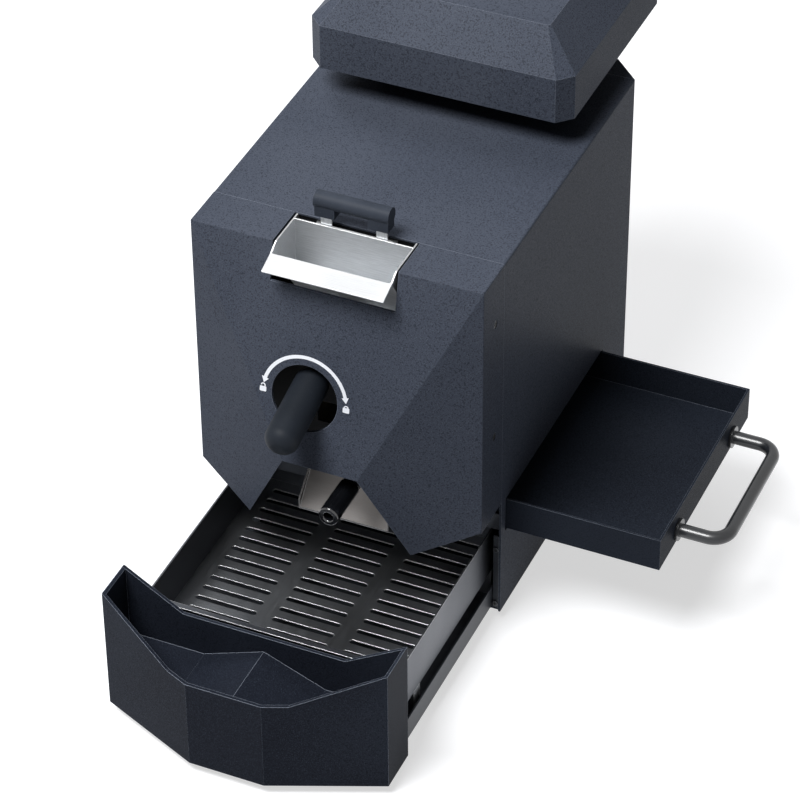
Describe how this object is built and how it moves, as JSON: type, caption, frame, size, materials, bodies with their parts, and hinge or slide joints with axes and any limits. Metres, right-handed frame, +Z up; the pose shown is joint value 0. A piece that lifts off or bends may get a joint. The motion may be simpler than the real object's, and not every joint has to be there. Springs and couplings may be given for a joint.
{
  "type": "home coffee bean roaster",
  "caption": "Countertop drum roaster with faceted metal case, feed chute and gate, discharge lever, cooling drawer, chaff drawer and raised control head.",
  "frame": {"origin": "bottom centre of the bounding box at rest, on the plane the feet stand on, with both drawers out as in the picture", "axes": "+Z up, -Y to the user's side where the cooling drawer opens, +X to the side where the chaff drawer opens"},
  "size_m": [0.3614, 0.5318, 0.4056],
  "materials": {
    "powder_coat": "fine speckled powder coat, blue-black",
    "black_rod": "satin black enamel",
    "dark_steel": "dark coated sheet",
    "stainless": "brushed stainless sheet",
    "machined_steel": "turned steel",
    "silicone": "matt dark silicone",
    "gloss_black": "glossy black",
    "knob_plastic": "satin moulded knob",
    "display_glass": "dark tinted window",
    "moulded_black": "moulded nylon",
    "heater_sheath": "heat-stained sheath",
    "board_green": "solder mask"
  },
  "bodies": {
    "case": {"base_plate": "powder_coat", "feet": "silicone", "case_shell": "powder_coat", "rear_cover": "powder_coat", "front_post_left": "dark_steel", "front_post_right": "dark_steel", "front_cover": "powder_coat", "case_screws": "machined_steel", "feed_chute": "stainless", "gate_guides": "stainless", "drum_front_plate": "stainless", "drum_rear_plate": "stainless", "drum_jacket": "stainless", "heat_shield": "stainless", "heating_elements": "heater_sheath", "drum_bearings": "machined_steel", "motor_plate": "stainless", "motor_posts": "stainless", "drive_motor": "machined_steel", "lever_bracket": "stainless", "discharge_spout": "stainless", "drawer_rails": "dark_steel", "chaff_runners": "dark_steel", "head_shell": "powder_coat", "head_base": "powder_coat", "head_neck": "powder_coat", "display_window": "display_glass", "control_board": "board_green", "panel_switches": "moulded_black", "cooling_fan_frame": "moulded_black", "exhaust_fan_frame": "moulded_black", "exhaust_spigot": "stainless", "mains_inlet": "moulded_black", "switch_frame": "moulded_black"},
    "gate": {"feed_gate": "stainless", "gate_handle": "silicone"},
    "drum": {"roasting_drum": "stainless", "drum_shaft": "machined_steel", "drum_gear": "machined_steel"},
    "pinion": {"drive_pinion": "machined_steel"},
    "lever": {"discharge_shutter": "stainless", "lever_shaft": "machined_steel", "lever_grip": "silicone"},
    "trier": {"trier_tube": "stainless", "trier_handle": "gloss_black"},
    "cooling_drawer": {"drawer_front": "powder_coat", "cooling_tray": "dark_steel", "cooling_screen": "stainless", "drawer_pan": "dark_steel", "tray_supports": "stainless"},
    "chaff_drawer": {"chaff_drawer": "powder_coat", "chaff_handle": "black_rod"},
    "cooling_fan": {"cooling_fan_impeller": "moulded_black"},
    "exhaust_fan": {"exhaust_fan_impeller": "moulded_black"},
    "power_knob": {"power_knob": "knob_plastic"},
    "airflow_knob": {"airflow_knob": "knob_plastic"},
    "cooling_knob": {"cooling_knob": "knob_plastic"},
    "drum_knob": {"drum_knob": "knob_plastic"},
    "power_button": {"power_button": "knob_plastic"},
    "rocker": {"mains_rocker": "gloss_black"}
  },
  "joints": [
    {"name": "gate_lift", "type": "slide", "parent": "case", "child": "gate", "axis": [0, 0, 1], "range_m": [0, 0.026]},
    {"name": "drum_spin", "type": "hinge", "parent": "case", "child": "drum", "pos_m": [-0.0757, 0.0559, 0.194], "axis": [0, 1, 0], "continuous": true},
    {"name": "pinion_spin", "type": "hinge", "parent": "case", "child": "pinion", "pos_m": [-0.0757, 0.1519, 0.149], "axis": [0, 1, 0], "continuous": true},
    {"name": "lever_turn", "type": "hinge", "parent": "case", "child": "lever", "pos_m": [-0.0902, -0.0641, 0.202], "axis": [0, 1, 0], "range_deg": [0, 90]},
    {"name": "trier_slide", "type": "slide", "parent": "case", "child": "trier", "axis": [0, -1, 0], "range_m": [0, 0.034]},
    {"name": "cooling_drawer_slide", "type": "slide", "parent": "case", "child": "cooling_drawer", "axis": [0, -1, 0], "range_m": [-0.1546, 0]},
    {"name": "chaff_drawer_slide", "type": "slide", "parent": "case", "child": "chaff_drawer", "axis": [1, 0, 0], "range_m": [-0.1126, 0]},
    {"name": "cooling_fan_spin", "type": "hinge", "parent": "case", "child": "cooling_fan", "pos_m": [-0.0757, 0.2009, 0.0415], "axis": [0, 1, 0], "continuous": true},
    {"name": "exhaust_fan_spin", "type": "hinge", "parent": "case", "child": "exhaust_fan", "pos_m": [-0.1227, 0.1959, 0.269], "axis": [0, 1, 0], "continuous": true},
    {"name": "power_knob_turn", "type": "hinge", "parent": "case", "child": "power_knob", "pos_m": [-0.1252, 0.2019, 0.3916], "axis": [0, 0, 1], "range_deg": [-150, 150]},
    {"name": "airflow_knob_turn", "type": "hinge", "parent": "case", "child": "airflow_knob", "pos_m": [-0.0922, 0.2019, 0.3916], "axis": [0, 0, 1], "range_deg": [-150, 150]},
    {"name": "cooling_knob_turn", "type": "hinge", "parent": "case", "child": "cooling_knob", "pos_m": [-0.0592, 0.2019, 0.3916], "axis": [0, 0, 1], "range_deg": [-150, 150]},
    {"name": "drum_knob_turn", "type": "hinge", "parent": "case", "child": "drum_knob", "pos_m": [-0.0262, 0.2019, 0.3916], "axis": [0, 0, 1], "range_deg": [-150, 150]},
    {"name": "power_button_press", "type": "slide", "parent": "case", "child": "power_button", "axis": [0, 0, -1], "range_m": [0, 0.0015], "stiffness_N_per_m": 300},
    {"name": "rocker_tip", "type": "hinge", "parent": "case", "child": "rocker", "pos_m": [-0.0137, 0.2109, 0.166], "axis": [-1, 0, 0], "range_deg": [0, 16]}
  ],
  "couplings": [
    {"joint": "pinion_spin", "follows": "drum_spin", "ratio": -4}
  ]
}
